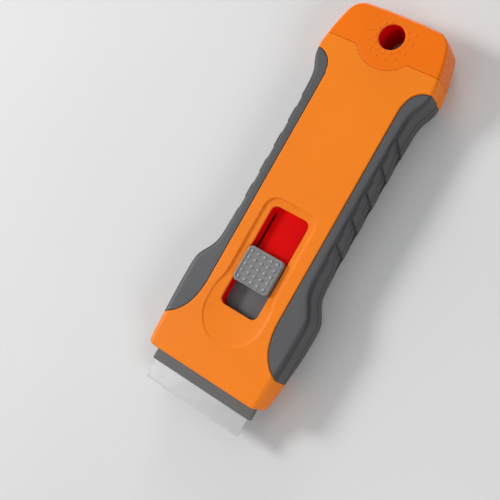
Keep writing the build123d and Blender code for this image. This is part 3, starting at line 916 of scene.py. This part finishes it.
def steel(name, colour, rough, brush_axis=0, brush=0.25):
    """Steel with fine brushing along one axis."""
    material, tree, shader, place = new_material(name)
    stretch = [9000.0, 9000.0, 9000.0]
    stretch[brush_axis] = 250.0
    lined = add_node(tree, "Mapping", {"Vector": place, "Scale": stretch}).outputs["Vector"]
    lines = noise(tree, lined, 1, 2, 0.7)
    cloud = noise(tree, place, 220, 4)
    base = mixed(tree, ranged(tree, lines, 0, 1, 0.3, 0.7), scaled(colour, 0.92), scaled(colour, 1.05))
    base = mixed(tree, ranged(tree, cloud, 0, 0.2, 0.4, 0.7), base, scaled(colour, 0.8))
    tree.links.new(base, shader.inputs["Base Color"])
    tree.links.new(ranged(tree, cloud, rough - 0.05, rough + 0.08, 0.3, 0.7), shader.inputs["Roughness"])
    height = add_node(tree, "Bump", {"Height": lines, "Strength": brush, "Distance": 0.01 * MM})
    tree.links.new(height.outputs["Normal"], shader.inputs["Normal"])
    shader.inputs["Metallic"].default_value = 1.0
    return material


# the edge colours below are lighter than the base colours: painted highlights on convex edges
MOULDED = {
    "shell_orange": dict(colour=(0.88, 0.215, 0.010), rough=0.42, grain=0.10, grain_mm=0.35, tone=0.04,
                         specular=0.15),
    "cap_orange": dict(colour=(0.88, 0.17, 0.001), rough=0.30, grain=0.05, grain_mm=0.5, tone=0.03,
                       specular=0.2, edge_highlight_colour=(1.0, 0.36, 0.06), edge_highlight_share=0.1),
    # the grips' rounded edges are painted darker: painted shade
    "grip_rubber": dict(colour=(0.072, 0.073, 0.077), rough=0.5, grain=0.45, grain_mm=0.22, tone=0.10,
                        specular=0.45, rounding_shade=0.8),
    "red_plastic": dict(colour=(0.72, 0.001, 0.001), rough=0.5, grain=0.05, grain_mm=0.5, tone=0.04,
                        specular=0.05, edge_highlight_colour=(0.85, 0.02, 0.01), edge_highlight_share=0.4),
    "holder_grey": dict(colour=(0.105, 0.105, 0.106), rough=0.5, grain=0.35, grain_mm=0.25,
                        edge_highlight_colour=(0.18, 0.18, 0.185)),
    "button_grey": dict(colour=(0.185, 0.185, 0.187), rough=0.5, grain=0.35, grain_mm=0.25,
                        edge_highlight_colour=(0.50, 0.50, 0.505)),
}
STEEL = {
    "blade_steel": dict(colour=(0.52, 0.52, 0.52), rough=0.36),
    "spine_steel": dict(colour=(0.52, 0.52, 0.53), rough=0.3),
    "spring_steel": dict(colour=(0.42, 0.42, 0.44), rough=0.35, brush_axis=1),
    "plated_steel": dict(colour=(0.55, 0.55, 0.54), rough=0.28, brush=0.1),
}
MATERIALS = {name: moulded(name, **finish) for name, finish in MOULDED.items()}
MATERIALS.update((name, steel(name, **finish)) for name, finish in STEEL.items())


# ---------------------------------------------------------------- pieces

def finish_piece(piece, body, material, nodes):
    """Gives a piece its material and slot, lets it stand for its nodes, and puts it on its body."""
    piece.data.materials.clear()
    piece.data.materials.append(MATERIALS[material])
    if nodes:
        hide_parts(*nodes)
    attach(piece, body)


# node, body, material, field, cell in mm, share of the faces kept
FORMS = [
    ("front_shell", "handle", "shell_orange", front_shell, 0.3, 0.35),
    ("rear_shell", "handle", "shell_orange", rear_shell, 0.33, 0.3),
    ("grip_front_left", "handle", "grip_rubber", front_grip, 0.25, 0.5),
    ("grip_front_right", "handle", "grip_rubber", front_grip, 0.25, 0.5),
    ("grip_rear_left", "handle", "grip_rubber", rear_grip, 0.25, 0.5),
    ("grip_rear_right", "handle", "grip_rubber", rear_grip, 0.25, 0.5),
    ("end_cap", "cap", "cap_orange", end_cap, 0.27, 0.45),
    ("hole_liner", "cap", "red_plastic", hole_liner, 0.25, 0.6),
    ("inner_frame", "handle", "red_plastic", inner_frame, 0.25, 0.35),
    ("holder_base", "holder", "holder_grey", holder_base, 0.22, 0.35),
    ("holder_cover", "holder", "holder_grey", holder_cover, 0.18, 0.35),
    ("holder_rivets", "holder", "plated_steel", holder_rivets, 0.12, 0.7),
    ("slide_button", "button", "button_grey", slide_button, 0.14, 0.5),
    ("housing_screws", "handle", "plated_steel", housing_screws, 0.15, 0.7),
]
for node, body, material, field, cell, keep in FORMS:
    low, high = (tuple(c / MM for c in corner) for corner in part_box(node))
    cell *= 1
    finish_piece(skin_mesh(node + "_form", field, low, high, cell, keep), body, material, [node])

BLADE_MID = BLADE_Z - BLADE_T / 2
blade = razor_blade("blade_form", [lambda x, y, z: (x, y + EDGE_Y, z + BLADE_MID)])
finish_piece(blade, "razor", "blade_steel", ["blade"])


def spare_place(level):
    """Spare blades lie on each other, turned a quarter turn, in the box in the handle."""
    height = SPARE_Z + SPINE_T / 2 + level * (SPINE_T + SPARE_GAP)
    return lambda x, y, z: (-(y - BLADE_L / 2), x + SPARE_Y, z + height)


finish_piece(cap_dots("end_cap_dots"), "cap", "cap_orange", [])
spares = razor_blade("spare_blades_form", [spare_place(i) for i in range(SPARES)])
finish_piece(spares, "handle", "blade_steel", ["spare_blades"])
for node, material in (("blade_spine", "spine_steel"), ("spare_spines", "spine_steel"),
                       ("store_spring", "spring_steel"), ("button_spring", "spring_steel")):
    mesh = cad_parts[node].data
    mesh.materials.clear()
    mesh.materials.append(MATERIALS[material])


# ---------------------------------------------------------------- floor, light and camera

def stage_plane(half=2.0):
    """A plain pale floor."""
    mesh = bpy.data.meshes.new("floor")
    corners = [(-half, -half, 0), (half, -half, 0), (half, half, 0), (-half, half, 0)]
    mesh.from_pydata(corners, [], [(0, 1, 2, 3)])
    floor = add_object("floor", mesh)
    material, tree, shader, place = new_material("pale_floor")
    cloud = noise(tree, place, 9, 4)
    tree.links.new(mixed(tree, cloud, (0.66, 0.66, 0.655), (0.72, 0.72, 0.715)), shader.inputs["Base Color"])
    shader.inputs["Roughness"].default_value = 0.75
    mesh.materials.append(material)


# where the camera stands and the middle of its picture, in metres
EYE = Vector((0.12867, -0.01718, 0.30222))
TARGET = Vector((-0.00623, -0.01769, 0.015))
ROLL = -29.633                # degrees the picture is turned about the line of sight
look = (TARGET - EYE).normalized()
lengthwise = Vector((0, 1, 0))
picture_up = Quaternion(look, math.radians(ROLL)) @ (lengthwise - look * lengthwise.dot(look)).normalized()
picture_right = look.cross(picture_up)

lens = bpy.data.cameras.new("camera")
lens.lens = 72.0
lens.sensor_width = 36.0
lens.clip_start = 0.01
lens.clip_end = 10
camera = add_object("camera", lens)
camera.rotation_mode = "QUATERNION"
camera.rotation_quaternion = Matrix((picture_right, picture_up, -look)).transposed().to_quaternion()
camera.location = EYE
scene.camera = camera
scene.view_settings.view_transform = "Standard"


def soft_light(name, direction, distance, size, power):
    """A round area light in a direction from the object's middle, aimed at it."""
    lamp = bpy.data.lights.new(name, "AREA")
    lamp.shape = "DISK"
    lamp.size = size
    lamp.energy = power
    direction = Vector(direction).normalized()
    light = add_object(name, lamp)
    light.location = TARGET + direction * distance
    light.rotation_mode = "QUATERNION"
    light.rotation_quaternion = (-direction).to_track_quat("-Z", "Y")


def studio_sky():
    """A world that is brighter on the object's left side than on its right."""
    world = bpy.data.worlds.new("studio")
    world.use_nodes = True
    tree = world.node_tree
    towards = add_node(tree, "SeparateXYZ", {"Vector": add_node(tree, "TexCoord").outputs["Generated"]})
    background = tree.nodes["Background"]
    background.inputs["Color"].default_value = (0.97, 0.98, 1, 1)
    strength = ranged(tree, towards.outputs["X"], 0.48, 0.08, -0.2, 0.9)
    tree.links.new(strength, background.inputs["Strength"])
    scene.world = world


stage_plane()
soft_light("key", (-0.8, -0.12, 0.6), distance=0.8, size=0.22, power=3.7)
soft_light("side", (0.8, -0.2, 0.52), distance=0.8, size=0.4, power=2.4)
soft_light("back", (-0.42, 0.87, 0.22), distance=0.8, size=0.3, power=2.2)
soft_light("panel", (-0.41, -0.52, 0.82), distance=1.0, size=0.7, power=0.8)
studio_sky()
